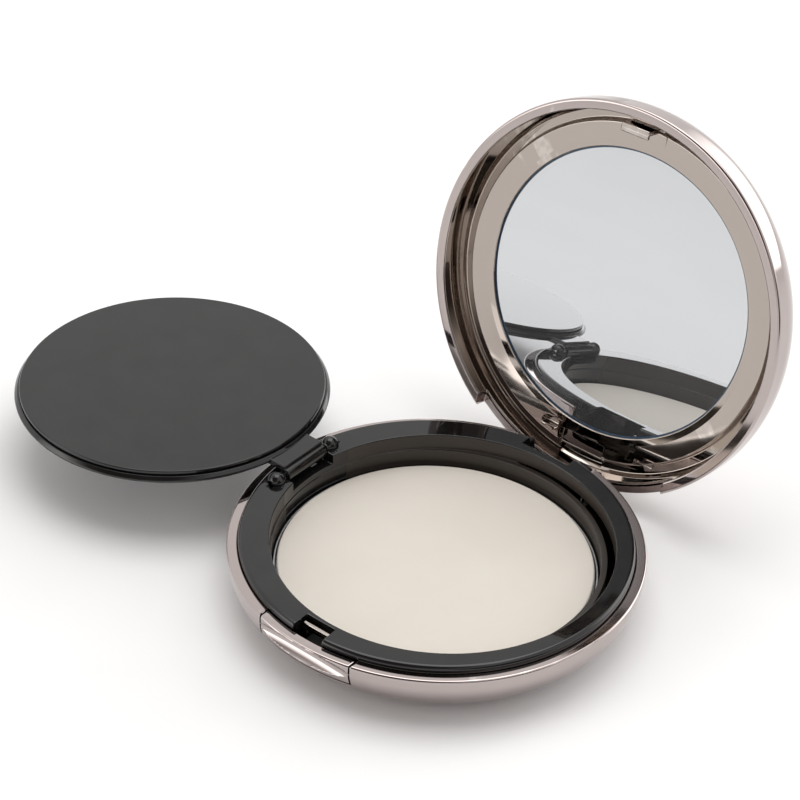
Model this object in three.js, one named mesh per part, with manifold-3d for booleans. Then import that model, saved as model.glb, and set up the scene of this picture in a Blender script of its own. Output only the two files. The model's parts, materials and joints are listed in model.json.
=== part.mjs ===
// Round pressed-powder compact, shown open: base with powder, flat inner lid, mirror lid.
// Millimetres. Origin on the middle of the base's flat underside, +Z up.
// Front (catch and push button) is -Y, main hinge is +Y, inner lid hinge is -X.
import * as THREE from 'three';
import { mergeVertices } from 'three/addons/utils/BufferGeometryUtils.js';
import Module from 'manifold-3d';

const wasm = await Module();
wasm.setup();

// ---- driving dimensions ----
const GAP = 0.3; // clearance between pieces that sit together
const CASE_R = 38.5; // outside radius of the closed compact
const RIM_Z = 10.6; // plane where the base shell meets the lid shell
const BASE_FOOT_R = 27; // flat underside
const BASE_CURVE_Z = 9; // height where the bowl's curve turns upright
const SHELL_T = 1.3;
const RING_R = 36.4; // black insert, outside
const RING_TOP_Z = 12;
const OPENING_R = 31.7; // insert's opening, set a little away from the inner hinge
const OPENING_X = 1.3;
const LEDGE_Z = 8.7;
const WELL_R = 30.3; // well that holds the pan
const WELL_FLOOR_Z = 2.9;
const POWDER_R = 29.3;
const POWDER_EDGE_Z = 5.9;

const LID_AXIS_Y = 35.4; // main hinge pin
const LID_AXIS_Z = 6.5;
const LID_OPEN = 102.5; // degrees from closed, as shown
const LID_DEPTH = 12;
const LID_WALL = 3; // upright part of the lid's side
const LID_FLAT_R = 29.5;
const FRAME_R = 36.8;
const FRAME_FACE_R = 33.7;
const FRAME_FACE_D = 5.9; // frame's face, below the lid's rim
const FACE_SLOPE = 0.55; // the face leans in by this much towards the mirror
const FRAME_LIP_R = 28.5;
const GROOVE_D = 7; // floor of the groove round the frame
const MIRROR_R = 29.2;
const RELIEF_HALF = 22; // lid wall cut back beside the hinge
const RELIEF_H = 3;
const KNUCKLE_HALF = 4.9;
const KNUCKLE_R = 1.9;
const MAIN_PIN_R = 0.75;

const COVER_AXIS_X = -32.4; // inner lid hinge pin
const COVER_AXIS_Z = 12.3;
const COVER_OPEN = 180; // degrees from closed, as shown
const COVER_R = 31;
const PLATE_R = 29.95;
const BALL_R = 1.7;
const BALL_Y = 7.7;
const BARREL_HALF = 5.4;
const BARREL_R = 1.35;
const COVER_PIN_R = 0.45;

const BUTTON_HALF = 10; // push button, along X
const BUTTON_LOW_Z = 6.3;
const BUTTON_TRAVEL = 0.7;
const SCOOP_SIZE = [27, 3.75, 2.25]; // half sizes of the round that cuts the thumb scoop
const SCOOP_Y = -CASE_R - 2.1;
const SCOOP_Z = RIM_Z - 2;
const SLOT_HALF = 3.25; // catch slot in the insert's front
const SLOT_IN_Y = -32.5;
const SLOT_OUT_Y = -37;

const FINE = 80; // steps round the large turned pieces

// ---- building blocks ----
// Turns a three.js geometry into a closed solid for joining and cutting.
function solid(geometry) {
  const g = geometry.clone();
  g.deleteAttribute('normal');
  g.deleteAttribute('uv');
  const merged = mergeVertices(g, 1e-4);
  const mesh = new wasm.Mesh({
    numProp: 3,
    vertProperties: new Float32Array(merged.attributes.position.array),
    triVerts: new Uint32Array(merged.index.array),
  });
  return new wasm.Manifold(mesh);
}

// Back from a solid to a three.js geometry.
function toGeometry(body) {
  const mesh = body.getMesh();
  const g = new THREE.BufferGeometry();
  g.setAttribute('position', new THREE.BufferAttribute(new Float32Array(mesh.vertProperties), 3));
  g.setIndex(new THREE.BufferAttribute(new Uint32Array(mesh.triVerts), 1));
  return g;
}

// Solid of revolution about +Z. Points are [radius, height], outside first, anticlockwise.
function turned(points, steps = FINE) {
  const profile = points.map((p) => new THREE.Vector2(p[0], p[1]));
  const g = new THREE.LatheGeometry(profile, steps);
  g.rotateX(Math.PI / 2);
  return solid(g);
}

// Quarter of an ellipse from angle a0 to a1 (degrees), centre [cr, cz].
function arc(cr, cz, rr, rz, a0, a1, steps) {
  const out = [];
  for (let i = 0; i <= steps; i += 1) {
    const a = THREE.MathUtils.degToRad(a0 + ((a1 - a0) * i) / steps);
    out.push([cr + rr * Math.cos(a), cz + rz * Math.sin(a)]);
  }
  return out;
}

// Box from its lowest to its highest corner.
function block(x0, y0, z0, x1, y1, z1) {
  const g = new THREE.BoxGeometry(x1 - x0, y1 - y0, z1 - z0);
  g.translate((x0 + x1) / 2, (y0 + y1) / 2, (z0 + z1) / 2);
  return solid(g);
}

// Rod along X, Y or Z between two stations, at the other two coordinates.
function rod(axis, radius, from, to, u, v, steps = 24) {
  const g = new THREE.CylinderGeometry(radius, radius, to - from, steps);
  const mid = (from + to) / 2;
  if (axis === 'x') {
    g.rotateZ(Math.PI / 2);
    g.translate(mid, u, v);
  } else if (axis === 'y') {
    g.translate(u, mid, v);
  } else {
    g.rotateX(Math.PI / 2);
    g.translate(u, v, mid);
  }
  return solid(g);
}

function ball(radius, x, y, z) {
  const g = new THREE.SphereGeometry(radius, 20, 14);
  g.translate(x, y, z);
  return solid(g);
}

function piece(name, body, color, roughness, metalness) {
  const material = new THREE.MeshStandardMaterial({ color, roughness, metalness });
  const geometry = body instanceof THREE.BufferGeometry ? body : toGeometry(body);
  geometry.computeVertexNormals();
  const mesh = new THREE.Mesh(geometry, material);
  mesh.name = name;
  return mesh;
}

const METAL = 0xb5a5a1; // rose-taupe metallised plastic
const CHROME = 0xbfb0a8;
const BLACK = 0x17161a;
const STEEL = 0xa9a9ad;
const ALUMINIUM = 0xb9bbbd;

// ---- base shell ----
// The outside of the bowl, kept as a solid so other pieces can be trimmed to it.
function bowl(inset) {
  const r = CASE_R - inset;
  const top = RIM_Z - (inset > 0 ? inset : 0);
  return turned([
    [0, inset],
    [BASE_FOOT_R, inset],
    ...arc(BASE_FOOT_R, BASE_CURVE_Z, r - BASE_FOOT_R, BASE_CURVE_Z - inset, -82, 0, 7),
    [r, top],
    [0, top],
  ]);
}

function makeBaseShell() {
  const edge = 0.5;
  const lip = RING_R + GAP;
  let body = turned([
    [0, 0],
    [BASE_FOOT_R, 0],
    ...arc(BASE_FOOT_R, BASE_CURVE_Z, CASE_R - BASE_FOOT_R, BASE_CURVE_Z, -82, 0, 7),
    ...arc(CASE_R - edge, RIM_Z - edge, edge, edge, 0, 90, 3),
    [lip, RIM_Z],
    [lip, BASE_CURVE_Z],
    ...arc(BASE_FOOT_R, BASE_CURVE_Z, lip - BASE_FOOT_R, BASE_CURVE_Z - SHELL_T, -14, -90, 5),
    [0, SHELL_T],
  ]);
  // Back cut-out for the hinge block, front window for the push button.
  body = body.subtract(block(-8.9, 33, 3.6, 8.9, 42, 12));
  const side = BUTTON_HALF + GAP;
  body = body.subtract(block(-side, -42, BUTTON_LOW_Z - GAP, side, -33, 12));
  return body;
}

// ---- black insert: ring, well, ball-headed hinge posts, hinge block ----
function makeInsert() {
  const round = 0.9;
  let body = turned([
    [0, WELL_FLOOR_Z - 1.3],
    [WELL_R - 1.9, WELL_FLOOR_Z - 1.3],
    [WELL_R + 1.1, WELL_FLOOR_Z - 0.3],
    [WELL_R + 1.1, LEDGE_Z + 0.3],
    [RING_R, LEDGE_Z + 0.3],
    ...arc(RING_R - round, RING_TOP_Z - round, round, round, 0, 90, 4),
    [0, RING_TOP_Z],
  ]);
  // Opening for the inner lid, then the deeper well for the pan.
  body = body.subtract(rod('z', OPENING_R, LEDGE_Z, 14, OPENING_X, 0, FINE));
  body = body.subtract(rod('z', WELL_R, WELL_FLOOR_Z, 14, 0, 0, FINE));
  // Hinge block at the back fills the shell's cut-out up to the rim.
  const hingeBlock = block(-8.6, 32, 3.9, 8.6, 42, RIM_Z).intersect(bowl(0.5));
  body = body.add(hingeBlock);
  body = body.subtract(block(-5.4, 33.2, 3, 5.4, 42, 14));
  body = body.subtract(rod('x', MAIN_PIN_R + GAP, -9, 9, LID_AXIS_Y, LID_AXIS_Z));
  // Catch slot, and a recess in the flange's outer face that lets the push button travel.
  body = body.subtract(block(-SLOT_HALF, SLOT_OUT_Y, 8, SLOT_HALF, SLOT_IN_Y, 14));
  const reach = BUTTON_HALF + GAP;
  const recess = block(-reach, -42, 8, reach, -30, RIM_Z + 0.3);
  const kept = rod('z', RING_R, 7, 12, 0, BUTTON_TRAVEL + 0.15, FINE);
  body = body.subtract(recess.subtract(kept));
  // Pocket and ball-headed posts for the inner lid's hinge.
  for (const side of [-1, 1]) {
    body = body.add(rod('z', 1.45, 9.6, COVER_AXIS_Z, COVER_AXIS_X, side * BALL_Y));
    body = body.add(ball(BALL_R, COVER_AXIS_X, side * BALL_Y, COVER_AXIS_Z));
  }
  body = body.subtract(block(-34.3, -5.75, 10, -29, 5.75, 14));
  body = body.subtract(rod('y', COVER_PIN_R + 0.25, -10, 10, COVER_AXIS_X, COVER_AXIS_Z));
  return body;
}

// ---- pan, powder and glue ----
function makePan() {
  const floor = WELL_FLOOR_Z + 0.9;
  const r = WELL_R - GAP;
  return turned([
    [0, floor],
    [r - 0.5, floor],
    [r, floor + 0.5],
    [r, 5.2],
    [r - 0.35, 5.2],
    [r - 0.35, floor + 0.6],
    [r - 0.6, floor + 0.4],
    [0, floor + 0.4],
  ]);
}

function makePowder() {
  const low = WELL_FLOOR_Z + 1.6;
  const crown = [];
  for (let i = 0; i <= 2; i += 1) {
    const t = i / 2;
    const r = (POWDER_R - 0.5) * (1 - t);
    crown.push([r, POWDER_EDGE_Z + 0.25 * t * (2 - t)]);
  }
  return turned([
    [0, low],
    [POWDER_R - 0.5, low],
    [POWDER_R, low + 0.6],
    [POWDER_R, POWDER_EDGE_Z - 0.3],
    ...crown,
  ]);
}

function makeGlue() {
  return rod('z', 12, WELL_FLOOR_Z + 0.25, WELL_FLOOR_Z + 0.65, 0, 0, 48);
}

// ---- push button, its slide and the catch loop ----
function makeButtonCap() {
  const side = BUTTON_HALF;
  const wedge = block(-side, -42, BUTTON_LOW_Z, side, -35, 12);
  const inner = rod('z', RING_R + GAP, 0, 14, 0, 0, FINE);
  let body = bowl(0).intersect(wedge).subtract(inner);
  // Lens-shaped scoop for the thumb.
  const g = new THREE.SphereGeometry(1, 64, 24);
  g.scale(...SCOOP_SIZE);
  g.translate(0, SCOOP_Y, SCOOP_Z);
  body = body.subtract(solid(g));
  return body;
}

function makeButtonSlide() {
  let body = block(-8, -36.1, 6.9, 8, -35.3, 8.4);
  body = body.add(block(-1.8, -35.5, 7.6, 1.8, -32.6, 8.4));
  const trim = rod('z', RING_R - 0.1, 0, 14, 0, 0, FINE);
  return body.intersect(trim);
}

function makeCatchLoop() {
  const body = block(-2.9, -34, 6.6, 2.9, -33.3, 11.3);
  return body.subtract(block(-2.1, -35, 7.3, 2.1, -33, 10.6));
}

// Small coil spring lying along Y, wound round its own centre.
class Coil extends THREE.Curve {
  constructor(radius, length, turns) {
    super();
    this.radius = radius;
    this.length = length;
    this.turns = turns;
  }

  getPoint(t, target = new THREE.Vector3()) {
    const a = t * this.turns * 2 * Math.PI;
    return target.set(this.radius * Math.cos(a), t * this.length, this.radius * Math.sin(a));
  }
}

function makeSpring(x) {
  const wire = new THREE.Shape();
  wire.absarc(0, 0, 0.17, 0, 2 * Math.PI, false);
  const path = new Coil(0.75, 2.6, 5);
  const g = new THREE.ExtrudeGeometry(wire, { steps: 50, curveSegments: 2, extrudePath: path });
  g.translate(x, -34.9, 7.6);
  return solid(g);
}

// ---- inner lid, drawn closed about its own pin ----
const COVER_X = OPENING_X + 0.2;

function makeCoverShell() {
  let body = turned([
    [0, 9.9],
    [COVER_R - 0.9, 9.9],
    [COVER_R - 0.6, 10.1],
    [COVER_R, 10.6],
    [COVER_R, 10.9],
    [COVER_R - 0.35, 11.4],
    [COVER_R - 1.1, 11.7],
    [0, 11.7],
  ]).translate([COVER_X, 0, 0]);
  body = body.add(block(COVER_AXIS_X, -BARREL_HALF, 10.3, -28.5, BARREL_HALF, 11.7));
  body = body.add(rod('y', BARREL_R, -BARREL_HALF, BARREL_HALF, COVER_AXIS_X, COVER_AXIS_Z));
  body = body.subtract(rod('y', COVER_PIN_R + 0.25, -7, 7, COVER_AXIS_X, COVER_AXIS_Z));
  return body.translate([-COVER_AXIS_X, 0, -COVER_AXIS_Z]);
}

function makeCoverPlate() {
  return turned([
    [0, 9],
    [PLATE_R - 0.35, 9],
    [PLATE_R - 0.1, 9.15],
    [PLATE_R, 9.6],
    [0, 9.6],
  ]).translate([COVER_X - COVER_AXIS_X, 0, -COVER_AXIS_Z]);
}

// ---- mirror lid, drawn closed about its own pin ----
function lidPlace(body) {
  return body.translate([0, -LID_AXIS_Y, RIM_Z - LID_AXIS_Z]);
}

function relief() {
  return block(-RELIEF_HALF, 22, -2, RELIEF_HALF, 42, RELIEF_H);
}

function makeLidShell() {
  const edge = 0.6;
  const lip = FRAME_R + GAP;
  const inR = lip - LID_FLAT_R;
  const inLow = LID_WALL + 1.5;
  const inH = LID_DEPTH - inLow - 1.1;
  let body = turned([
    [0, LID_DEPTH - 1.1],
    ...arc(LID_FLAT_R, inLow, inR, inH, 90, 0, 5),
    [lip, 0],
    ...arc(CASE_R - edge, edge, edge, edge, -90, 0, 3),
    ...arc(LID_FLAT_R, LID_WALL, CASE_R - LID_FLAT_R, LID_DEPTH - LID_WALL - 0.4, 0, 84, 7),
    [14, LID_DEPTH - 0.1],
    [0, LID_DEPTH],
  ]);
  body = body.subtract(relief());
  return lidPlace(body);
}

function makeLidFrame() {
  const face = FRAME_FACE_D;
  let body = turned([
    [FRAME_LIP_R, face + 0.45],
    [FRAME_LIP_R + 0.1, face + 0.3],
    [29.9, face + 0.1],
    [FRAME_FACE_R - 0.3, face + 0.1 - FACE_SLOPE],
    [FRAME_FACE_R, face + 0.3 - FACE_SLOPE],
    [FRAME_FACE_R + 0.1, GROOVE_D],
    [35.7, GROOVE_D],
    [36.1, GROOVE_D - 0.6],
    [36.4, 0.5],
    [FRAME_R, 0.5],
    [FRAME_R, 4.6],
    [FRAME_R - 0.5, 6.6],
    [FRAME_R - 1.4, GROOVE_D + 0.8],
    [29.6, GROOVE_D + 0.8],
    [29.6, face + 0.75],
    [FRAME_LIP_R, face + 0.45],
  ]);
  body = body.subtract(relief());
  // Two moulded slots in the frame face beside the hinge.
  body = body.subtract(block(-9.6, 29.9, 1, -6, 31.3, 9));
  body = body.subtract(block(12.2, 29.9, 1, 15.8, 31.3, 9));
  // Catch hook at the front: root on the skirt, then a blade with an inward barb.
  body = body.add(block(-3.9, -36.1, 3.3, 3.9, -34.5, GROOVE_D + 0.2));
  body = body.add(block(-3.05, -35.2, -0.9, 3.05, -34.3, GROOVE_D + 0.2));
  body = body.add(block(-3.05, -34.5, -0.9, 3.05, -33.55, -0.3));
  // Hinge knuckle at the back.
  const drop = LID_AXIS_Z - RIM_Z;
  body = body.add(block(-KNUCKLE_HALF, 34.1, drop, KNUCKLE_HALF, 35.6, GROOVE_D + 0.1));
  body = body.add(rod('x', KNUCKLE_R, -KNUCKLE_HALF, KNUCKLE_HALF, LID_AXIS_Y, drop));
  body = body.subtract(rod('x', MAIN_PIN_R + GAP, -7, 7, LID_AXIS_Y, drop));
  return lidPlace(body);
}

function lidDisc(radius, from, to, steps = FINE) {
  return lidPlace(rod('z', radius, from, to, 0, 0, steps));
}

// ---- assembly ----
const group = new THREE.Group();
group.name = 'powder_compact';

group.add(piece('base_shell', makeBaseShell(), METAL, 0.16, 1));
group.add(piece('base_insert', makeInsert(), BLACK, 0.12, 0));
group.add(piece('powder_pan', makePan(), ALUMINIUM, 0.35, 1));
group.add(piece('pressed_powder', makePowder(), 0xe8ded2, 0.95, 0));
group.add(piece('pan_glue', makeGlue(), 0xd8d2c0, 0.5, 0));

const mainPin = rod('x', MAIN_PIN_R, -8.2, 8.2, LID_AXIS_Y, LID_AXIS_Z);
group.add(piece('main_hinge_pin', mainPin, STEEL, 0.25, 1));
const coverPin = rod('y', COVER_PIN_R, -8.8, 8.8, COVER_AXIS_X, COVER_AXIS_Z);
group.add(piece('inner_hinge_pin', coverPin, STEEL, 0.25, 1));
group.add(piece('button_spring_left', makeSpring(-5.4), STEEL, 0.3, 1));
group.add(piece('button_spring_right', makeSpring(5.4), STEEL, 0.3, 1));

const button = new THREE.Group();
button.name = 'button_group';
button.add(piece('push_button', makeButtonCap(), METAL, 0.16, 1));
button.add(piece('button_slide', makeButtonSlide(), BLACK, 0.4, 0));
button.add(piece('catch_loop', makeCatchLoop(), STEEL, 0.2, 1));
group.add(button);

const cover = new THREE.Group();
cover.name = 'inner_lid_group';
cover.position.set(COVER_AXIS_X, 0, COVER_AXIS_Z);
cover.rotation.y = THREE.MathUtils.degToRad(-COVER_OPEN);
cover.add(piece('inner_lid_cover', makeCoverShell(), BLACK, 0.14, 0));
cover.add(piece('inner_lid_plate', makeCoverPlate(), BLACK, 0.18, 0));
group.add(cover);

const lid = new THREE.Group();
lid.name = 'lid_group';
lid.position.set(0, LID_AXIS_Y, LID_AXIS_Z);
lid.rotation.x = THREE.MathUtils.degToRad(-LID_OPEN);
lid.add(piece('lid_shell', makeLidShell(), METAL, 0.16, 1));
lid.add(piece('lid_frame', makeLidFrame(), CHROME, 0.1, 1));
lid.add(piece('mirror_glass', lidDisc(MIRROR_R, 6.7, 8), 0xdfe3e6, 0.03, 1));
lid.add(piece('mirror_tape', lidDisc(28, 8.3, 8.8, 64), 0x2b2b2e, 0.8, 0));
lid.add(piece('mirror_plate', lidDisc(30.8, 9.1, 10.1, 64), BLACK, 0.5, 0));
group.add(lid);

export default group;
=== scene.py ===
"""Open powder compact: base with pressed powder, black inner lid folded out, mirror lid leaning back.

Blender frame: metres, +Z up, front with the push button at -Y, lid hinge at +Y, inner lid at -X.
Sizes in the sections are millimetres and become metres where a mesh is made.
"""

import json
import math

import bmesh
import bpy
from mathutils import Matrix, Vector


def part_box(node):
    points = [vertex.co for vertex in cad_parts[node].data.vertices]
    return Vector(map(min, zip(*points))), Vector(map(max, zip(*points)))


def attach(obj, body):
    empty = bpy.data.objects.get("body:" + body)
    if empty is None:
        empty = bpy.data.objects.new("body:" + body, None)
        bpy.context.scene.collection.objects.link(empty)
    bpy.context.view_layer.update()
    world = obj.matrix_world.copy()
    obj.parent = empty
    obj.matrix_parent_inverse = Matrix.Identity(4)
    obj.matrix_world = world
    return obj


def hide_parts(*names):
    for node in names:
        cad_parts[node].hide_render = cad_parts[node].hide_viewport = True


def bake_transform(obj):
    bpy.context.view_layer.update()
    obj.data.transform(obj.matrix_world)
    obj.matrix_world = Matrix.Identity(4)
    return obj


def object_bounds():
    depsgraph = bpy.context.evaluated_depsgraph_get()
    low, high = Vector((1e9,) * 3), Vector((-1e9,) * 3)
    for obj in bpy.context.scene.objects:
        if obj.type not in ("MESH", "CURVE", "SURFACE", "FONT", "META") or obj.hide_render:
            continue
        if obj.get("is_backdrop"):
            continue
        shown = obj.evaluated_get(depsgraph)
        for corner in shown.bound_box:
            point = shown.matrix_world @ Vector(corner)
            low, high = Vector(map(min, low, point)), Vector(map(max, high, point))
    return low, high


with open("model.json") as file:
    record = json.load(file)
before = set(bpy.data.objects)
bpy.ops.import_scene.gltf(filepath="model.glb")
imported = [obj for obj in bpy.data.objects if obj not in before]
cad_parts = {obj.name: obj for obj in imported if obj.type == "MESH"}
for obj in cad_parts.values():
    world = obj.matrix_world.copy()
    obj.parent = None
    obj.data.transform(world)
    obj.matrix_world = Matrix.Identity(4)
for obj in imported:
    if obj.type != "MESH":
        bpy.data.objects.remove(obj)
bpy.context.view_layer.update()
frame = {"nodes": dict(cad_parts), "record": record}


# ---- Base shell ------------------------------------------------------------------------------------
# The bowl that stands on the table. Injection-moulded ABS, 1.3 mm thick below, vacuum-metallised in a
# rose taupe and clear coated. The black insert snaps down into it; it is cut open at the back for the
# hinge block and at the front for the push button.

MM = 0.001
TURN_STEPS = 320


def box_mm(node):
    """Lowest and highest corner of a CAD node, in millimetres."""
    low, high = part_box(node)
    return Vector(low) / MM, Vector(high) / MM


def joint_mm(name):
    """Where a hinge's pin is, in millimetres."""
    for joint in frame["record"]["behaviour"]["joints"]:
        if joint["name"] == name:
            return Vector(joint["pos_m"]) / MM
    raise ValueError(name)


def arc(centre_u, centre_v, radius_u, radius_v, start, end, steps=12):
    """Points along part of an ellipse, angles in degrees."""
    points = []
    for i in range(steps + 1):
        angle = math.radians(start + (end - start) * i / steps)
        points.append((centre_u + radius_u * math.cos(angle), centre_v + radius_v * math.sin(angle)))
    return points


def rounded(corners, steps=6):
    """Closed outline in which a corner given as (u, v, radius) is rounded by that radius."""
    points = []
    for i, corner in enumerate(corners):
        here = Vector(corner[:2])
        if len(corner) == 2:
            points.append(tuple(here))
            continue
        back = (Vector(corners[i - 1][:2]) - here).normalized()
        ahead = (Vector(corners[(i + 1) % len(corners)][:2]) - here).normalized()
        half = back.angle(ahead) / 2
        centre = here + (back + ahead).normalized() * corner[2] / math.sin(half)
        start = here + back * corner[2] / math.tan(half) - centre
        end = here + ahead * corner[2] / math.tan(half) - centre
        sweep = math.atan2(start.x * end.y - start.y * end.x, start.dot(end))
        for k in range(steps + 1):
            a = sweep * k / steps
            x = start.x * math.cos(a) - start.y * math.sin(a)
            y = start.x * math.sin(a) + start.y * math.cos(a)
            points.append((centre.x + x, centre.y + y))
    return points


def as_piece(name, shape):
    """Turns an edited mesh into an object in the scene."""
    bmesh.ops.recalc_face_normals(shape, faces=shape.faces)
    mesh = bpy.data.meshes.new(name)
    shape.to_mesh(mesh)
    shape.free()
    piece = bpy.data.objects.new(name, mesh)
    bpy.context.scene.collection.objects.link(piece)
    return piece


def turned(name, outline, x=0.0, y=0.0, steps=TURN_STEPS):
    """Solid turned about a vertical line at x, y from a closed (radius, height) outline."""
    shape = bmesh.new()
    rings = []
    for radius, height in outline:
        count = steps if radius > 1e-6 else 1
        ring = []
        for i in range(count):
            angle = 2 * math.pi * i / steps
            place = (x + radius * math.cos(angle), y + radius * math.sin(angle), height)
            ring.append(shape.verts.new(Vector(place) * MM))
        rings.append(ring)
    for low, high in zip(rings, rings[1:] + rings[:1]):
        if len(low) == 1 and len(high) == 1:
            continue
        for i in range(steps):
            j = (i + 1) % steps
            corners = [low[i % len(low)], low[j % len(low)], high[j % len(high)], high[i % len(high)]]
            shape.faces.new(list(dict.fromkeys(corners)))
    return as_piece(name, shape)


def block(name, low, high, edge=0.0, steps=3):
    """Brick between two corners, its edges rounded by edge."""
    shape = bmesh.new()
    bmesh.ops.create_cube(shape, size=1.0)
    low, high = Vector(low) * MM, Vector(high) * MM
    for vertex in shape.verts:
        part = [(vertex.co[k] + 0.5) * (high[k] - low[k]) + low[k] for k in range(3)]
        vertex.co = part
    if edge:
        bmesh.ops.bevel(shape, geom=shape.edges[:], offset=edge * MM, segments=steps, profile=0.5,
                        affect="EDGES")
    return as_piece(name, shape)


def rod(name, start, end, radius, edge=0.0, steps=64):
    """Round bar between two points, its end edges rounded by edge."""
    start, end = Vector(start), Vector(end)
    length = (end - start).length
    outline = [(0, 0), (radius, 0), (radius, length), (0, length)]
    if edge:
        outline = rounded([(0, 0), (radius, 0, edge), (radius, length, edge), (0, length)], 5)
    bar = turned(name, outline, steps=steps)
    turn = Vector((0, 0, 1)).rotation_difference(end - start).to_matrix().to_4x4()
    bar.data.transform(Matrix.Translation(start * MM) @ turn)
    return bar


def settle(piece):
    """Makes the piece's modifiers part of its mesh."""
    seen = piece.evaluated_get(bpy.context.evaluated_depsgraph_get())
    mesh = bpy.data.meshes.new_from_object(seen)
    piece.modifiers.clear()
    old = piece.data
    piece.data = mesh
    mesh.name = piece.name
    bpy.data.meshes.remove(old)


def combine(piece, other, how):
    """Joins another solid to the piece (UNION), cuts it away (DIFFERENCE) or keeps what they share."""
    step = piece.modifiers.new("combine", "BOOLEAN")
    step.object = other
    step.operation = how
    step.solver = "EXACT"
    settle(piece)
    bpy.data.objects.remove(other)


def soften(piece, width=0.07, sharpest=26.0):
    """Breaks the crisp edges left by cutting, then shades the faces smooth up to those edges."""
    if width:
        edges = piece.modifiers.new("broken edges", "BEVEL")
        edges.width = width * MM
        edges.segments = 2
        edges.limit_method = "ANGLE"
        edges.angle_limit = math.radians(sharpest)
        edges.use_clamp_overlap = False
        settle(piece)
    for face in piece.data.polygons:
        face.use_smooth = True
    piece.data.set_sharp_from_angle(angle=math.radians(38))
    level = piece.modifiers.new("flat faces stay flat", "WEIGHTED_NORMAL")
    level.keep_sharp = True
    level.weight = 60


def node_group(name, inputs, outputs):
    """Empty shader node group with named number inputs and outputs."""
    group = bpy.data.node_groups.new(name, "ShaderNodeTree")
    for label, value in inputs.items():
        socket = group.interface.new_socket(label, in_out="INPUT", socket_type="NodeSocketFloat")
        socket.default_value = value
    for label in outputs:
        group.interface.new_socket(label, in_out="OUTPUT", socket_type="NodeSocketFloat")
    return group, group.nodes.new("NodeGroupInput"), group.nodes.new("NodeGroupOutput")


def noise(tree, place, scale, detail=3.0, roughness=0.5):
    """Noise texture at a scale given in repeats per metre, which may be a socket."""
    node = tree.nodes.new("ShaderNodeTexNoise")
    node.inputs["Detail"].default_value = detail
    node.inputs["Roughness"].default_value = roughness
    tree.links.new(place, node.inputs["Vector"])
    if isinstance(scale, (int, float)):
        node.inputs["Scale"].default_value = scale
    else:
        tree.links.new(scale, node.inputs["Scale"])
    return node.outputs["Fac"]


def math_node(tree, operation, a, b):
    """One arithmetic step on two sockets or numbers."""
    node = tree.nodes.new("ShaderNodeMath")
    node.operation = operation
    for socket, value in zip(node.inputs, (a, b)):
        if isinstance(value, (int, float)):
            socket.default_value = value
        else:
            tree.links.new(value, socket)
    return node.outputs["Value"]


def span(tree, value, from_low, from_high, to_low, to_high):
    """Stretches a value from one range to another, held at its ends."""
    node = tree.nodes.new("ShaderNodeMapRange")
    for label, given in (("Value", value), ("From Min", from_low), ("From Max", from_high),
                         ("To Min", to_low), ("To Max", to_high)):
        if isinstance(given, (int, float)):
            node.inputs[label].default_value = given
        else:
            tree.links.new(given, node.inputs[label])
    return node.outputs["Result"]


def handling_group():
    """Faint film left by handling: roughness that drifts in patches, with a trace of polish haze."""
    group, inside, outside = node_group(
        "handling film", {"Clean roughness": 0.08, "Film roughness": 0.16, "Patches": 55.0}, ["Roughness"])
    place = group.nodes.new("ShaderNodeTexCoord").outputs["Object"]
    patches = noise(group, place, inside.outputs["Patches"], 4.0, 0.55)
    haze = noise(group, place, 1900.0, 2.0)
    mask = math_node(group, "ADD", span(group, patches, 0.42, 0.66, 0.0, 0.85),
                     span(group, haze, 0.4, 0.7, 0.0, 0.15))
    rough = span(group, mask, 0.0, 1.0, inside.outputs["Clean roughness"], inside.outputs["Film roughness"])
    group.links.new(rough, outside.inputs["Roughness"])
    return group


def moulding_group():
    """Height of the slight waviness that every moulded skin has, with a finer orange peel on it."""
    group, inside, outside = node_group("moulded skin", {"Wave": 1.0, "Peel": 0.2}, ["Height"])
    place = group.nodes.new("ShaderNodeTexCoord").outputs["Object"]
    wave = math_node(group, "MULTIPLY", noise(group, place, 95.0, 1.0), inside.outputs["Wave"])
    peel = math_node(group, "MULTIPLY", noise(group, place, 1500.0, 2.0), inside.outputs["Peel"])
    group.links.new(math_node(group, "ADD", wave, peel), outside.inputs["Height"])
    return group


def edge_highlight_group():
    """Mask that is bright along outward edges and broken up by noise: a painted highlight on the edges."""
    group, inside, outside = node_group("painted edge highlight", {"Amount": 0.5}, ["Mask"])
    place = group.nodes.new("ShaderNodeTexCoord").outputs["Object"]
    sharpness = group.nodes.new("ShaderNodeNewGeometry").outputs["Pointiness"]
    edges = span(group, sharpness, 0.515, 0.58, 0.0, 1.0)
    broken = span(group, noise(group, place, 700.0), 0.35, 0.6, 0.35, 1.0)
    lit_edge = math_node(group, "MULTIPLY", edges, broken)
    mask = math_node(group, "MULTIPLY", lit_edge, inside.outputs["Amount"])
    group.links.new(mask, outside.inputs["Mask"])
    return group


handling_film = handling_group()
moulded_skin = moulding_group()
edge_highlight = edge_highlight_group()


def new_material(name):
    """Material with its principled shader."""
    material = bpy.data.materials.new(name)
    material.use_nodes = True
    return material, material.node_tree, material.node_tree.nodes["Principled BSDF"]


def use_group(tree, group, **values):
    """Places a node group in a material with its own values; names use _ for spaces."""
    node = tree.nodes.new("ShaderNodeGroup")
    node.node_tree = group
    for label, value in values.items():
        node.inputs[label.replace("_", " ")].default_value = value
    return node


def two_tone(tree, mask, plain, other):
    """Colour that goes from plain to other as the mask rises."""
    mix = tree.nodes.new("ShaderNodeMix")
    mix.data_type = "RGBA"
    mix.inputs["A"].default_value = (*plain, 1.0)
    mix.inputs["B"].default_value = (*other, 1.0)
    tree.links.new(mask, mix.inputs["Factor"])
    return mix.outputs["Result"]


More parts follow.
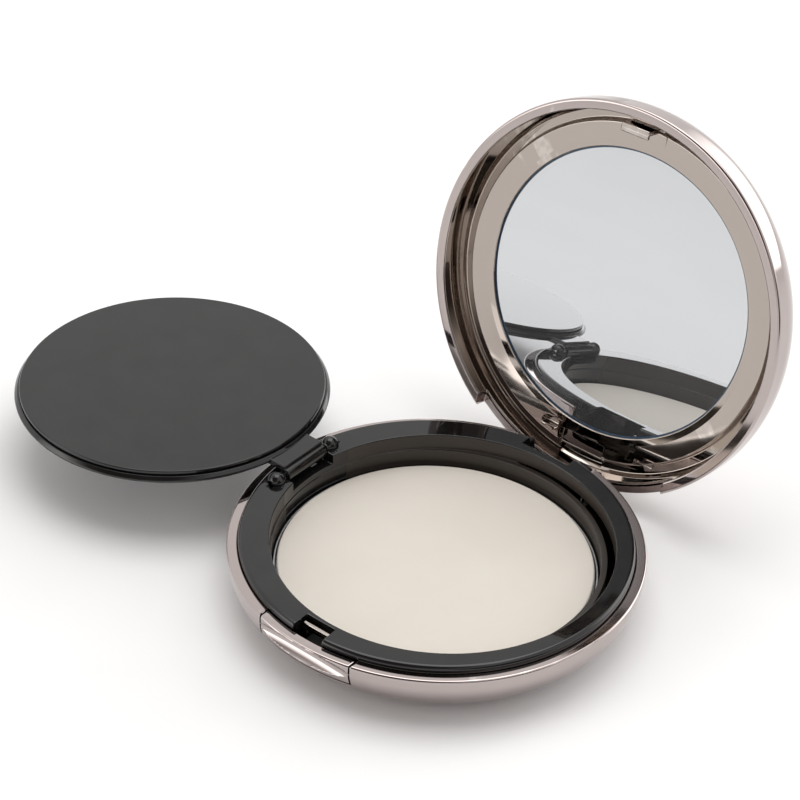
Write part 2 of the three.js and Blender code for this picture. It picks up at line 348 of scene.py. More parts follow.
def raised(tree, height, distance, strength=1.0):
    """Bump normal from a height, with its depth in metres."""
    bump = tree.nodes.new("ShaderNodeBump")
    bump.inputs["Distance"].default_value = distance
    bump.inputs["Strength"].default_value = strength
    tree.links.new(height, bump.inputs["Height"])
    return bump.outputs["Normal"]


def plated_plastic(name, colour, highlight_colour, clean, film, wave):
    """Vacuum-metallised plastic under clear lacquer, with a painted highlight along its outward edges."""
    material, tree, shader = new_material(name)
    # Lighter colour along outward edges: a painted highlight.
    painted_highlight = use_group(tree, edge_highlight, Amount=0.6).outputs["Mask"]
    tree.links.new(two_tone(tree, painted_highlight, colour, highlight_colour), shader.inputs["Base Color"])
    film_node = use_group(tree, handling_film, Clean_roughness=clean, Film_roughness=film)
    tree.links.new(film_node.outputs["Roughness"], shader.inputs["Roughness"])
    skin = use_group(tree, moulded_skin, Wave=wave, Peel=0.008)
    tree.links.new(raised(tree, skin.outputs["Height"], 0.00004), shader.inputs["Normal"])
    shader.inputs["Metallic"].default_value = 1.0
    shader.inputs["Coat Weight"].default_value = 0.35
    shader.inputs["Coat Roughness"].default_value = 0.04
    return material


# The second colour is the painted highlight along the edges.
case_metal = plated_plastic("rose taupe plating", (0.45, 0.39, 0.375), (0.70, 0.64, 0.61),
                            0.05, 0.10, 0.4)

shell_low, shell_high = box_mm("base_shell")
case_radius = (shell_high.x - shell_low.x) / 2
rim_height = shell_high.z
foot_radius = 27.0
curve_top = 9.0  # height where the bowl's curve turns upright
ring_radius = 36.4
gap = 0.3  # clearance between pieces that move or are assembled
shell_inner = ring_radius + 0.08  # the rim hugs the insert's flange
wall = 1.3
label_recess = 24.5
button_half = (box_mm("push_button")[1].x - box_mm("push_button")[0].x) / 2
button_low = box_mm("push_button")[0].z

rim_edge = 0.45
shell_outline = [
    (0, 0.25),
    (label_recess - 0.3, 0.25),
    *arc(label_recess, 0.0, 0.3, 0.25, 90, 0, 4),
    *arc(foot_radius, curve_top, case_radius - foot_radius, curve_top, -90, 0, 40),
    *arc(case_radius - rim_edge, rim_height - rim_edge, rim_edge, rim_edge, 0, 90, 10),
    (shell_inner + 0.12, rim_height),
    (shell_inner, rim_height - 0.12),
    *arc(foot_radius, curve_top, shell_inner - foot_radius, curve_top - wall, 0, -90, 24),
    (0, wall),
]
base_shell = turned("base_shell_plated", shell_outline)
outside = 42  # beyond the case, where a cut can end freely
above = 14  # above the base, likewise
hinge_gap_half = 8.9
back_low, back_high = (-hinge_gap_half, 33, 3.6), (hinge_gap_half, outside, above)
combine(base_shell, block("back_opening", back_low, back_high, 0.5), "DIFFERENCE")
window_low = (-button_half - gap, -outside, button_low - gap)
window_high = (button_half + gap, -33, above)
combine(base_shell, block("button_window", window_low, window_high, 0.35), "DIFFERENCE")
soften(base_shell, 0.12)
base_shell.data.materials.append(case_metal)
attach(base_shell, "base")
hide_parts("base_shell")


# ---- Base insert -----------------------------------------------------------------------------------
# One black ABS moulding with a high gloss: the flat ring round the powder, the stepped well that holds
# the pan, the block for the lid's hinge, the catch slot and two ball-headed posts for the inner lid.
# It snaps into the shell and stands about 1.4 mm above its rim.

def gloss_plastic(name, colour, clean, film):
    """Solid black plastic polished in the mould."""
    material, tree, shader = new_material(name)
    place = tree.nodes.new("ShaderNodeTexCoord").outputs["Object"]
    cloud = span(tree, noise(tree, place, 160.0), 0.35, 0.65, 0.0, 1.0)
    dusty = tuple(0.7 * c + 0.006 for c in colour)
    tree.links.new(two_tone(tree, cloud, colour, dusty), shader.inputs["Base Color"])
    film_node = use_group(tree, handling_film, Clean_roughness=clean, Film_roughness=film)
    tree.links.new(film_node.outputs["Roughness"], shader.inputs["Roughness"])
    skin = use_group(tree, moulded_skin, Wave=0.35, Peel=0.01)
    tree.links.new(raised(tree, skin.outputs["Height"], 0.00003), shader.inputs["Normal"])
    shader.inputs["IOR"].default_value = 1.52
    return material


black_gloss = gloss_plastic("black gloss moulding", (0.007, 0.0062, 0.006), 0.025, 0.06)

ring_top = 12.0
opening_radius = 31.7
opening_x = 1.3
ledge = 8.7
well_radius = 30.3
well_outer = well_radius + 1.1
well_chamfer = 0.12
well_floor = box_mm("powder_pan")[0].z - 0.9
lid_pin = joint_mm("lid_hinge")
inner_pin = joint_mm("inner_lid_hinge")

ring_outline = rounded([
    (0, well_floor - 1.3),
    (well_radius - 1.9, well_floor - 1.3, 0.6),
    (well_outer, well_floor - 0.3, 0.6),
    (well_outer, ledge + 0.3, 0.4),
    (ring_radius, ledge + 0.3, 0.2),
    (ring_radius, ring_top, 0.85),
    (0, ring_top),
], 10)
insert = turned("black_insert", ring_outline)
lip = 0.22  # rounding of the opening's upper edge
opening = turned("opening", [
    *rounded([(0, ledge), (opening_radius, ledge, 0.2), (opening_radius, ring_top - lip)], 5)[:-1],
    *arc(opening_radius + lip, ring_top - lip, lip, lip, 180, 90, 6),
    (opening_radius + lip, ring_top + 2),
    (0, ring_top + 2),
], x=opening_x)
combine(insert, opening, "DIFFERENCE")
well = turned("well", [
    (0, well_floor),
    *arc(well_radius - 0.4, well_floor + 0.4, 0.4, 0.4, -90, 0, 5),
    *arc(well_radius + well_chamfer, ledge - well_chamfer, well_chamfer, well_chamfer, 180, 90, 4),
    (well_radius + well_chamfer, ledge + 0.03),
    (0, ledge + 0.03),
])
combine(insert, well, "DIFFERENCE")

# Hinge block, following the bowl's curve, with the notch for the lid's knuckle.
hinge_block_half = 8.6
notch_half = 5.4
main_bore = 1.05
hinge_inset = 0.5  # the block stands this far inside the bowl's surface
block_radius = case_radius - hinge_inset
block_low, block_high = (-hinge_block_half, 32, 3.9), (hinge_block_half, outside, rim_height)
hinge_block = block("hinge_block", block_low, block_high, 0.15)
bowl = turned("bowl", [
    (0, hinge_inset),
    *arc(foot_radius, curve_top, block_radius - foot_radius, curve_top - hinge_inset, -90, 0, 40),
    (block_radius, rim_height),
    (0, rim_height),
])
combine(hinge_block, bowl, "INTERSECT")
combine(insert, hinge_block, "UNION")
notch_low, notch_high = (-notch_half, 33.2, 3), (notch_half, outside, above)
combine(insert, block("notch", notch_low, notch_high, 0.15), "DIFFERENCE")
pin_bore = rod("pin_bore", (-9, lid_pin.y, lid_pin.z), (9, lid_pin.y, lid_pin.z), main_bore)
combine(insert, pin_bore, "DIFFERENCE")

# Catch slot, open to the front, and the recess in the flange that lets the button travel.
slot_half = 3.25
travel_half = 10.3
press_room = 0.85  # the button's travel and a little more
combine(insert, block("slot", (-slot_half, -38, 8), (slot_half, -32.5, above), 0.2), "DIFFERENCE")
travel = block("travel", (-travel_half, -outside, 8), (travel_half, -30, rim_height + 0.3), 0.1)
kept = turned("kept", [(0, 7), (ring_radius, 7), (ring_radius, 12), (0, 12)], y=press_room)
combine(travel, kept, "DIFFERENCE")
combine(insert, travel, "DIFFERENCE")

# Ball-headed posts, each with a short neck towards the hinge barrel between them.
ball_radius = 1.7
ball_y = 7.7
post_radius = 1.35
neck_radius = 0.95
small_bore = 0.7
for side in (-1, 1):
    post_top = (inner_pin.x, side * ball_y, inner_pin.z)
    post = rod("post", (inner_pin.x, side * ball_y, 9.6), post_top, post_radius)
    combine(insert, post, "UNION")
    neck_end = (inner_pin.x, side * 5.95, inner_pin.z)
    neck = rod("neck", post_top, neck_end, neck_radius, 0.15, 40)
    combine(insert, neck, "UNION")
    ball = turned("ball", arc(0, inner_pin.z, ball_radius, ball_radius, -90, 90, 32),
                  x=inner_pin.x, y=side * ball_y, steps=64)
    combine(insert, ball, "UNION")
pocket_half = 5.75
pocket_low, pocket_high = (-34.3, -pocket_half, 10), (-29, pocket_half, above)
combine(insert, block("pocket", pocket_low, pocket_high, 0.3), "DIFFERENCE")
bore_ends = (inner_pin.x, -10, inner_pin.z), (inner_pin.x, 10, inner_pin.z)
cross_bore = rod("cross_bore", *bore_ends, small_bore, 0, 40)
combine(insert, cross_bore, "DIFFERENCE")
soften(insert, 0.07)
insert.data.materials.append(black_gloss)

# The wall, ledge and well inside the opening keep a satin skin from the mould, and their warm brown colour
# is a painted reflection of the cream powder. The inner lid's hinge pocket beside them is polished.
satin_wall_painted_reflection = gloss_plastic("black satin wall with painted reflection", (0.030, 0.022, 0.016), 0.34, 0.42)
insert.data.materials.append(satin_wall_painted_reflection)
opening_middle = Vector((opening_x, 0))
for face in insert.data.polygons:
    middle = face.center / MM
    inside = (middle.xy - opening_middle).length < opening_radius + 0.02
    if inside and well_floor < middle.z < ring_top - lip and middle.x > pocket_high[0]:
        face.material_index = 1
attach(insert, "base")
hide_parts("base_insert")


# ---- Powder pan ------------------------------------------------------------------------------------
# The refill pan: a shallow cup deep-drawn from thin aluminium sheet, its cut edge just showing round
# the powder. A flat pool of hot-melt glue holds it to the well's floor.

def drawn_metal(name, colour, rough_low, rough_high, turns):
    """Bare metal with fine draw lines running round or along it."""
    material, tree, shader = new_material(name)
    place = tree.nodes.new("ShaderNodeTexCoord").outputs["Object"]
    stretch = tree.nodes.new("ShaderNodeMapping")
    stretch.inputs["Scale"].default_value = turns
    tree.links.new(place, stretch.inputs["Vector"])
    lines = noise(tree, stretch.outputs["Vector"], 900.0, 4.0, 0.7)
    tree.links.new(span(tree, lines, 0.3, 0.7, rough_low, rough_high), shader.inputs["Roughness"])
    dull = tuple(0.72 * c for c in colour)
    tree.links.new(two_tone(tree, span(tree, lines, 0.35, 0.7, 0.0, 1.0), colour, dull),
                   shader.inputs["Base Color"])
    tree.links.new(raised(tree, lines, 0.000012), shader.inputs["Normal"])
    shader.inputs["Metallic"].default_value = 1.0
    return material


aluminium = drawn_metal("drawn aluminium", (0.74, 0.75, 0.76), 0.22, 0.42, (1.0, 1.0, 9.0))

pan_low, pan_high = box_mm("powder_pan")
pan_radius = (pan_high.x - pan_low.x) / 2
sheet = 0.35
pan = turned("refill_pan", rounded([
    (0, pan_low.z),
    (pan_radius, pan_low.z, 0.5),
    (pan_radius, pan_high.z, 0.1),
    (pan_radius - sheet, pan_high.z, 0.1),
    (pan_radius - sheet, pan_low.z + sheet, 0.3),
    (0, pan_low.z + sheet),
], 5))
soften(pan, 0)
pan.data.materials.append(aluminium)
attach(pan, "base")
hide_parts("powder_pan")


# ---- Pressed powder --------------------------------------------------------------------------------
# Fine cream face powder pressed into the pan: a matt, slightly domed cake with a soft shoulder, a very
# fine grain and the faint cloudiness of the pressing cloth.

powder_matter, tree, shader = new_material("pressed powder")
place = tree.nodes.new("ShaderNodeTexCoord").outputs["Object"]
clouds = span(tree, noise(tree, place, 70.0, 4.0), 0.35, 0.65, 0.0, 1.0)
grain = noise(tree, place, 5200.0, 3.0, 0.7)
speck = noise(tree, place, 2100.0, 2.0)
cream = two_tone(tree, clouds, (0.78, 0.728, 0.655), (0.76, 0.705, 0.63))
tree.links.new(cream, shader.inputs["Base Color"])
pressed_height = math_node(tree, "ADD", grain, math_node(tree, "MULTIPLY", speck, 0.8))
tree.links.new(raised(tree, pressed_height, 0.00003, 0.55), shader.inputs["Normal"])
tree.links.new(span(tree, grain, 0.3, 0.7, 0.88, 1.0), shader.inputs["Roughness"])
shader.inputs["Specular IOR Level"].default_value = 0.15
shader.inputs["Sheen Weight"].default_value = 0.12
shader.inputs["Sheen Roughness"].default_value = 0.6

powder_low, powder_high = box_mm("pressed_powder")
powder_radius = (powder_high.x - powder_low.x) / 2
powder_edge = 5.9
shoulder = 0.35
dome = []
for i in range(1, 25):
    t = i / 24
    dome.append(((powder_radius - shoulder) * (1 - t), powder_edge + 0.25 * t * (2 - t)))
powder = turned("powder_cake", [
    (0, powder_low.z),
    (powder_radius - 0.5, powder_low.z),
    (powder_radius, powder_low.z + 0.5),
    *arc(powder_radius - shoulder, powder_edge - shoulder, shoulder, shoulder, 0, 90, 8),
    *dome,
])
soften(powder, 0)
powder.data.materials.append(powder_matter)
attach(powder, "base")
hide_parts("pressed_powder")


# ---- Pan glue --------------------------------------------------------------------------------------
# A flat pool of hot-melt glue between the pan and the floor of the well; out of sight once built.

glue_matter, tree, shader = new_material("hot melt glue")
place = tree.nodes.new("ShaderNodeTexCoord").outputs["Object"]
milky = span(tree, noise(tree, place, 420.0, 3.0), 0.35, 0.65, 0.0, 1.0)
tree.links.new(two_tone(tree, milky, (0.62, 0.52, 0.34), (0.74, 0.68, 0.52)), shader.inputs["Base Color"])
tree.links.new(span(tree, milky, 0.0, 1.0, 0.32, 0.5), shader.inputs["Roughness"])
frame["nodes"]["pan_glue"].data.materials.clear()
frame["nodes"]["pan_glue"].data.materials.append(glue_matter)


# ---- Hinge pins ------------------------------------------------------------------------------------
# Straight drawn steel pins. The thick one joins the lid's knuckle to the hinge block; the thin one runs
# from ball to ball through the inner lid's barrel.

steel = drawn_metal("drawn steel", (0.60, 0.59, 0.58), 0.16, 0.30, (0.15, 0.15, 1.0))

for node, name in (("main_hinge_pin", "lid_pin"), ("inner_hinge_pin", "inner_lid_pin")):
    low, high = box_mm(node)
    middle = (low + high) / 2
    size = high - low
    if size.x > size.y:
        ends = (low.x, middle.y, middle.z), (high.x, middle.y, middle.z)
    else:
        ends = (middle.x, low.y, middle.z), (middle.x, high.y, middle.z)
    pin = rod(name, *ends, size.z / 2, 0.12)
    soften(pin, 0)
    pin.data.materials.append(steel)
    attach(pin, "base")
    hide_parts(node)


# ---- Button springs --------------------------------------------------------------------------------
# Two small coil springs of fine steel wire behind the button's slide, which push the button back out.

wire_radius = 0.16
coil_turns = 6
coil_steps = 40  # points in one turn of the coil
for node in ("button_spring_left", "button_spring_right"):
    low, high = box_mm(node)
    middle = (low + high) / 2
    coil_radius = (high.x - low.x) / 2 - wire_radius
    wire = bpy.data.curves.new(node + "_wire", "CURVE")
    wire.dimensions = "3D"
    wire.bevel_depth = wire_radius * MM
    wire.bevel_resolution = 3
    wire.use_fill_caps = True
    path = wire.splines.new("POLY")
    count = coil_turns * coil_steps + 1
    path.points.add(count - 1)
    front, back = low.y + wire_radius, high.y - wire_radius
    for i, point in enumerate(path.points):
        angle = 2 * math.pi * i / coil_steps
        y = front + (back - front) * i / (count - 1)
        place = (middle.x + coil_radius * math.cos(angle), y, middle.z + coil_radius * math.sin(angle))
        point.co = (*(Vector(place) * MM), 1.0)
    coil = bpy.data.objects.new(node + "_coil", wire)
    bpy.context.scene.collection.objects.link(coil)
    mesh = bpy.data.meshes.new_from_object(coil.evaluated_get(bpy.context.evaluated_depsgraph_get()))
    spring = bpy.data.objects.new(node + "_steel", mesh)
    bpy.context.scene.collection.objects.link(spring)
    bpy.data.objects.remove(coil)
    soften(spring, 0)
    spring.data.materials.clear()
    spring.data.materials.append(steel)
    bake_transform(spring)
    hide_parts(node)


# ---- Push button -----------------------------------------------------------------------------------
# The front of the bowl, moulded and plated with it but loose, so that pressing it inwards frees the
# lid's hook. A lens-shaped scoop takes the thumb.

scoop_wide, scoop_deep, scoop_high = 27.0, 3.75, 2.25  # half sizes of the round that cuts the scoop
scoop_y = -case_radius - 2.1
scoop_z = rim_height - 2.0
button = turned("push_button_cap", [
    (shell_inner, 0),
    *arc(foot_radius, curve_top, case_radius - foot_radius, curve_top, -75, 0, 36),
    *arc(case_radius - rim_edge, rim_height - rim_edge, rim_edge, rim_edge, 0, 90, 10),
    (shell_inner, rim_height),
])
cap_low = (-button_half, -outside, button_low)
cap_high = (button_half, -35, above)
combine(button, block("cap_stretch", cap_low, cap_high, 0.15), "INTERSECT")
scoop = turned("scoop", arc(0, 0, 1.0, scoop_high, -90, 90, 60), steps=720)
scoop.data.transform(Matrix.Translation(Vector((0, scoop_y, scoop_z)) * MM)
                     @ Matrix.Diagonal((scoop_wide, scoop_deep, 1, 1)))
combine(button, scoop, "DIFFERENCE")
soften(button, 0.12)
button.data.materials.append(case_metal)
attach(button, "button")
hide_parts("push_button")


# ---- Button slide and catch loop -------------------------------------------------------------------
# Behind the cap a black slide carries a bright plated loop, meant to hold the lid's hook. The loop's top
# bar shows in the catch slot.

black_inner = gloss_plastic("black satin moulding", (0.012, 0.012, 0.012), 0.3, 0.45)
slide = frame["nodes"]["button_slide"]
slide.data.materials.clear()
slide.data.materials.append(black_inner)

loop_low, loop_high = box_mm("catch_loop")
loop = block("catch_loop_plated", loop_low, loop_high, 0.16)
loop_bar = 0.7  # height of its top and bottom bars
loop_window_half = 2.1
hole_low = (-loop_window_half, loop_low.y - 1, loop_low.z + loop_bar)
hole_high = (loop_window_half, loop_high.y + 1, loop_high.z - loop_bar)
combine(loop, block("loop_window", hole_low, hole_high, 0.2), "DIFFERENCE")
soften(loop, 0.06)
# The second colour is the painted highlight along the edges.
frame_metal = plated_plastic("warm chrome plating", (0.41, 0.36, 0.325), (0.66, 0.61, 0.57),
                             0.03, 0.07, 0.3)
loop.data.materials.append(frame_metal)
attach(loop, "button")
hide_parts("catch_loop")


# ---- Inner lid -------------------------------------------------------------------------------------
# A flat disc that covers the powder, folded right out to the side. Its cover is a black gloss moulding
# with a tapered side, a neck and a hinge barrel; a polished black plate is glued on its powder side.

cover_low, cover_high = box_mm("inner_lid_cover")
plate_low, plate_high = box_mm("inner_lid_plate")
cover_x = (plate_low.x + plate_high.x) / 2
cover_radius = (cover_high.y - cover_low.y) / 2
cover_top = plate_low.z - gap
closed_top = 11.7  # height of the lid's outside once folded in
cover_base = 2 * inner_pin.z - closed_top
barrel_half = 5.4
barrel_radius = 1.35
cover = turned("inner_lid_disc", rounded([
    (0, cover_base),
    (cover_radius - 1.1, cover_base, 0.45),
    (cover_radius, cover_base + 0.95, 0.4),
    (cover_radius - 0.75, cover_top, 0.12),
    (0, cover_top),
], 8), x=cover_x)
arm_low = (cover_x + 28, -barrel_half, cover_base + 0.02)
arm = block("arm", arm_low, (inner_pin.x, barrel_half, cover_base + 1.4), 0.25)
combine(cover, arm, "UNION")
barrel_ends = (inner_pin.x, -barrel_half, inner_pin.z), (inner_pin.x, barrel_half, inner_pin.z)
combine(cover, rod("barrel", *barrel_ends, barrel_radius, 0.2), "UNION")
bore_ends = (inner_pin.x, -7, inner_pin.z), (inner_pin.x, 7, inner_pin.z)
combine(cover, rod("barrel_bore", *bore_ends, small_bore, 0, 40), "DIFFERENCE")
soften(cover, 0.07)
cover.data.materials.append(black_gloss)
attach(cover, "inner_lid")
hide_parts("inner_lid_cover")

plate_radius = (plate_high.y - plate_low.y) / 2
plate = turned("inner_lid_facing", rounded([
    (0, plate_low.z),
    (plate_radius, plate_low.z, 0.08),
    (plate_radius - 0.12, plate_high.z, 0.28),
    (0, plate_high.z),
], 8), x=cover_x)
soften(plate, 0)
plate.data.materials.append(black_gloss)
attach(plate, "inner_lid")
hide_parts("inner_lid_plate")


# ---- Lid shell -------------------------------------------------------------------------------------
# The domed outside of the lid, moulded and plated like the base shell. It is made here as if closed
# (heights are depths above its rim) and then leaned back about the hinge pin. The rim is cut back
# beside the hinge so that the lid can swing past the base.

lid_open = 102.5  # degrees from closed
lean = Matrix.Rotation(math.radians(-lid_open), 4, "X")
to_pin = Matrix.Translation(Vector((0, -lid_pin.y, rim_height - lid_pin.z)) * MM)
lid_place = Matrix.Translation(lid_pin * MM) @ lean @ to_pin

lid_depth = 12.0
lid_flat = 29.5
frame_radius = 36.8
lid_lip = frame_radius + gap
relief_half = 22.0
relief_height = 3.0


def cut_relief(piece):
    """Cuts the rim back beside the hinge."""
    low, high = (-relief_half, 20, -2), (relief_half, outside, relief_height)
    combine(piece, block("relief", low, high, 0.3), "DIFFERENCE")


def on_lid(piece, body, node, finish):
    """Leans a lid piece back into place and hands it over."""
    piece.data.transform(lid_place)
    piece.data.materials.append(finish)
    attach(piece, body)
    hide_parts(node)


crown_radius, crown_rise = 29.75, 0.403  # the shallow dome meets the side's curve smoothly here
crown = []
for i in range(1, 21):
    radius = crown_radius * (1 - i / 20)
    crown.append((radius, lid_depth - crown_rise * (radius / crown_radius) ** 2))
roof = 1.1  # thickness of the dome
lid_shell = turned("lid_shell_plated", [
    (0, lid_depth - roof),
    *arc(lid_flat, 4.5, lid_lip - lid_flat, lid_depth - 5.6, 90, 0, 24),
    (lid_lip, 0.42),
    (lid_lip - 0.62, 0.36),
    (lid_lip - 0.68, 0.2),
    (lid_lip - 0.5, 0),
    *arc(case_radius - 0.55, 0.55, 0.55, 0.55, -90, 0, 10),
    *arc(lid_flat, 3.0, case_radius - lid_flat, lid_depth - 3.4, 0, 88.4, 40),
    *crown,
])
cut_relief(lid_shell)
soften(lid_shell, 0.12)
on_lid(lid_shell, "lid", "lid_shell", case_metal)


# ---- Lid frame -------------------------------------------------------------------------------------
# The bright ring inside the lid that holds the mirror: warm chrome plating on ABS. A face that leans in
# to the mirror, a groove round it, a thin skirt against the shell, the catch hook at the front and the
# hinge knuckle at the back are all one moulding.

face_depth = 5.9
groove_depth = 7.0
face_radius = 33.7
face_slope = 0.55  # the face leans in by this much towards the mirror
bezel_radius = 28.5
lid_frame = turned("lid_frame_plated", rounded([
    (bezel_radius, face_depth + 0.45),
    (bezel_radius + 0.15, face_depth + 0.2, 0.12),
    (29.9, face_depth + 0.1, 0.6),
    (face_radius - 0.15, face_depth + 0.1 - face_slope, 0.3),
    (face_radius + 0.15, groove_depth, 0.35),
    (35.7, groove_depth, 0.35),
    (36.15, groove_depth - 0.6, 0.3),
    (36.4, 0.45, 0.12),
    (frame_radius, 0.45, 0.12),
    (frame_radius, 4.6, 0.5),
    (frame_radius - 0.5, 6.6, 0.5),
    (frame_radius - 1.4, groove_depth + 0.8, 0.3),
    (29.6, groove_depth + 0.8),
    (29.6, face_depth + 0.75),
], 7))
cut_relief(lid_frame)

# Moulded slots in the face beside the hinge, and a shallow pocket behind the knuckle.
for low_x, high_x in ((-9.6, -6.0), (12.2, 15.8)):
    slot_cut = block("face_slot", (low_x, 29.9, 1), (high_x, 31.3, face_depth + 1.3), 0.3)
    combine(lid_frame, slot_cut, "DIFFERENCE")
combine(lid_frame, block("pocket", (-5.2, 30.6, 1), (5.2, 34.1, groove_depth + 0.2), 0.2), "DIFFERENCE")

# Two parting lines on the face beside the hook.
for x in (-3.4, 3.4):
    line = block("parting_line", (x - 0.07, -34.4, 4), (x + 0.07, -29.9, face_depth - 0.1))
    combine(lid_frame, line, "DIFFERENCE")

# Catch hook: a root in the groove, a blade standing up from it and a barb on the blade's end.
root_half = 3.9
blade_half = 3.05
hook_end = -0.9  # past the lid's rim
hook_root = groove_depth + 0.2
hook_parts = (
    ((-root_half, -36.0, 3.3), (root_half, -34.5, hook_root), 0.3),
    ((-blade_half, -35.2, hook_end), (blade_half, -34.3, hook_root), 0.15),
    ((-blade_half, -34.6, hook_end), (blade_half, -33.55, -0.3), 0.2),
)
for low, high, edge in hook_parts:
    combine(lid_frame, block("hook_part", low, high, edge), "UNION")

# Knuckle: an arm down to a barrel round the pin, cored out on its open side so that the pin shows.
knuckle_half = 4.9
knuckle_radius = 1.9
drop = lid_pin.z - rim_height
arm = block("knuckle_arm", (-knuckle_half, 34.1, drop), (knuckle_half, 35.6, groove_depth + 0.1), 0.2)
combine(lid_frame, arm, "UNION")
barrel_ends = (-knuckle_half, lid_pin.y, drop), (knuckle_half, lid_pin.y, drop)
combine(lid_frame, rod("knuckle_barrel", *barrel_ends, knuckle_radius, 0.2, 96), "UNION")
bore_ends = (-7, lid_pin.y, drop), (7, lid_pin.y, drop)
combine(lid_frame, rod("knuckle_bore", *bore_ends, main_bore), "DIFFERENCE")
for low_x, high_x in ((-4.1, -0.5), (0.5, 4.1)):
    core = block("core", (low_x, 32.8, drop - 1.2), (high_x, 35.3, drop + 1.5), 0.2)
    combine(lid_frame, core, "DIFFERENCE")
soften(lid_frame, 0.08)
on_lid(lid_frame, "lid", "lid_frame", frame_metal)


# ---- Mirror, tape and backing plate ----------------------------------------------------------------
# A round of silvered float glass with a ground edge, held behind the frame's lip by a foam tape disc on
# a black backing plate.

mirror_matter, tree, shader = new_material("silvered glass")
place = tree.nodes.new("ShaderNodeTexCoord").outputs["Object"]
haze = noise(tree, place, 48.0, 5.0, 0.6)
silver = two_tone(tree, haze, (0.655, 0.665, 0.68), (0.63, 0.645, 0.665))
tree.links.new(silver, shader.inputs["Base Color"])
tree.links.new(span(tree, haze, 0.5, 0.75, 0.004, 0.03), shader.inputs["Roughness"])
shader.inputs["Metallic"].default_value = 0.93

edge_matter, tree, shader = new_material("ground glass edge")
place = tree.nodes.new("ShaderNodeTexCoord").outputs["Object"]
chips = noise(tree, place, 2600.0, 3.0)
tree.links.new(two_tone(tree, chips, (0.03, 0.06, 0.11), (0.09, 0.14, 0.20)), shader.inputs["Base Color"])
tree.links.new(span(tree, chips, 0.3, 0.7, 0.12, 0.3), shader.inputs["Roughness"])

mirror_radius = 29.2
silvered_radius = 28.2
glass_front, glass_back = 6.7, 8.0
ground = 0.12  # rounding of the glass's edges
mirror_side = rounded([
    (silvered_radius, glass_front),
    (mirror_radius, glass_front, ground),
    (mirror_radius, glass_back, ground),
    (0, glass_back),
], 4)
mirror = turned("mirror_glass_disc", [(0, glass_front), *mirror_side])
for face in mirror.data.polygons:
    if math.hypot(face.center.x, face.center.y) > silvered_radius * MM:
        face.material_index = 1
soften(mirror, 0)
on_lid(mirror, "lid", "mirror_glass", mirror_matter)
mirror.data.materials.append(edge_matter)

tape_matter, tree, shader = new_material("foam tape")
place = tree.nodes.new("ShaderNodeTexCoord").outputs["Object"]
cells = noise(tree, place, 3000.0, 3.0, 0.7)
tree.links.new(two_tone(tree, cells, (0.62, 0.62, 0.60), (0.78, 0.78, 0.76)), shader.inputs["Base Color"])
tree.links.new(raised(tree, cells, 0.00008), shader.inputs["Normal"])
shader.inputs["Roughness"].default_value = 0.9
for node, matter in (("mirror_tape", tape_matter), ("mirror_plate", black_inner)):
    frame["nodes"][node].data.materials.clear()
    frame["nodes"][node].data.materials.append(matter)


# ---- Studio ----------------------------------------------------------------------------------------
# White table in a white surround that is brighter low at the front left and low behind, and dark behind the
# camera, with one large soft light overhead.

floor_matter, tree, shader = new_material("white table")
place = tree.nodes.new("ShaderNodeTexCoord").outputs["Object"]
paper = span(tree, noise(tree, place, 30.0, 2.0), 0.3, 0.7, 0.0, 1.0)
tree.links.new(two_tone(tree, paper, (0.90, 0.90, 0.90), (0.92, 0.92, 0.92)), shader.inputs["Base Color"])
shader.inputs["Roughness"].default_value = 0.9
shader.inputs["Specular IOR Level"].default_value = 0.1

shape = bmesh.new()
bmesh.ops.create_grid(shape, x_segments=8, y_segments=8, size=4.0)
floor = as_piece("table", shape)
floor.data.materials.append(floor_matter)
floor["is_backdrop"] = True

world = bpy.data.worlds.new("soft surround")
world.use_nodes = True
tree = world.node_tree
surround = tree.nodes["Background"]
direction = tree.nodes.new("ShaderNodeTexCoord").outputs["Generated"]


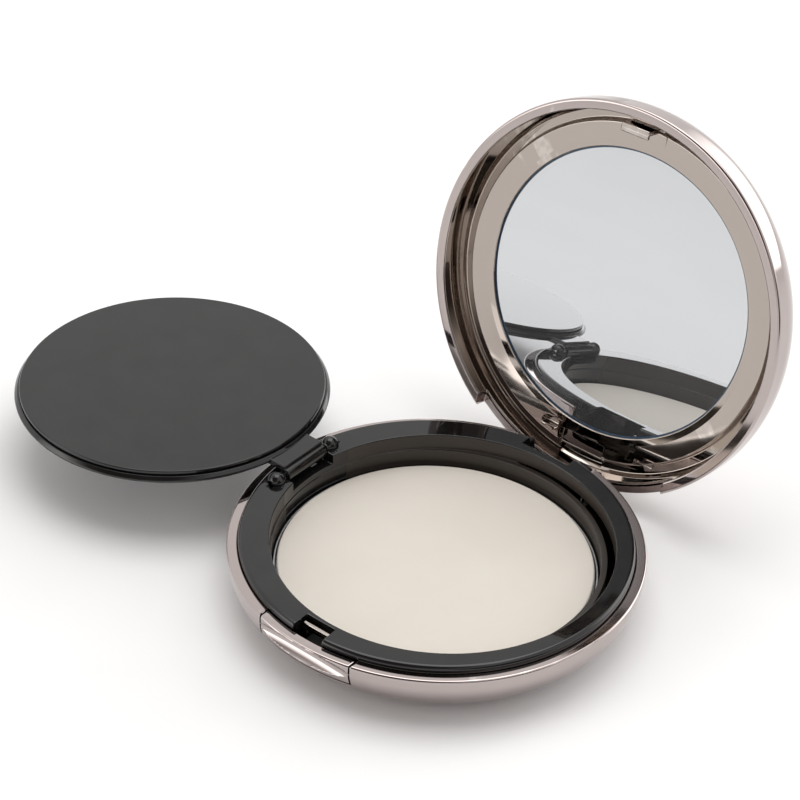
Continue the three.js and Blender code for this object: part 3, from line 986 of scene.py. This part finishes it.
def towards(aim, wide, narrow):
    """Mask that is 1 in the surround near a direction and fades out to the wide cosine."""
    facing = tree.nodes.new("ShaderNodeVectorMath")
    facing.operation = "DOT_PRODUCT"
    facing.inputs[1].default_value = Vector(aim).normalized()
    tree.links.new(direction, facing.inputs[0])
    return span(tree, facing.outputs["Value"], wide, narrow, 0.0, 1.0)


dark_front = towards((0.10, -0.66, 0.74), 0.72, 0.90)
dark_right = towards((0.95, -0.25, 0.12), 0.86, 0.96)
dark_mask = math_node(tree, "MAXIMUM", dark_front, dark_right)
glow_left = towards((-0.50, -0.83, 0.25), 0.88, 0.96)
glow_back = towards((0.30, 0.92, 0.26), 0.84, 0.95)
glow = math_node(tree, "MULTIPLY", math_node(tree, "ADD", glow_left, glow_back), 1.9)
tree.links.new(two_tone(tree, dark_mask, (1.0, 0.99, 0.98), (0.09, 0.075, 0.07)), surround.inputs["Color"])
brightness = math_node(tree, "ADD", glow, 1.0)
tree.links.new(brightness, surround.inputs["Strength"])
bpy.context.scene.world = world


def softbox(name, place, target, size, power):
    """Square area light pointed at a target."""
    lamp = bpy.data.lights.new(name, "AREA")
    lamp.shape = "RECTANGLE"
    lamp.size, lamp.size_y = size
    lamp.energy = power
    holder = bpy.data.objects.new(name, lamp)
    holder.location = place
    holder.rotation_euler = (Vector(target) - Vector(place)).to_track_quat("-Z", "Y").to_euler()
    bpy.context.scene.collection.objects.link(holder)
    holder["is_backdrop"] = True


softbox("overhead_softbox", (-0.10, 0.15, 0.85), (0, 0, 0), (0.7, 0.7), 3.0)

bpy.context.scene.view_settings.view_transform = "Standard"


# ---- Camera ----------------------------------------------------------------------------------------
# Long lens from the front right, 35 degrees above the table, with the slight tilt of a hand-set tripod.

camera_data = bpy.data.cameras.new("camera")
camera_data.sensor_width = 36.0
camera_data.lens = 107.06
camera_data.clip_start = 0.01
camera_data.clip_end = 20.0
camera = bpy.data.objects.new("camera", camera_data)
bpy.context.scene.collection.objects.link(camera)
camera_place = Vector((202.5, -274.55, 282.81)) * MM
look = Vector((-0.499723, 0.645847, -0.577199))
right = Vector((0.775055, 0.630927, 0.034945))
up = right.cross(look)
turn = Matrix((right, up, -look)).transposed().to_4x4()
camera.matrix_world = Matrix.Translation(camera_place) @ turn
bpy.context.scene.camera = camera


low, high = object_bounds()
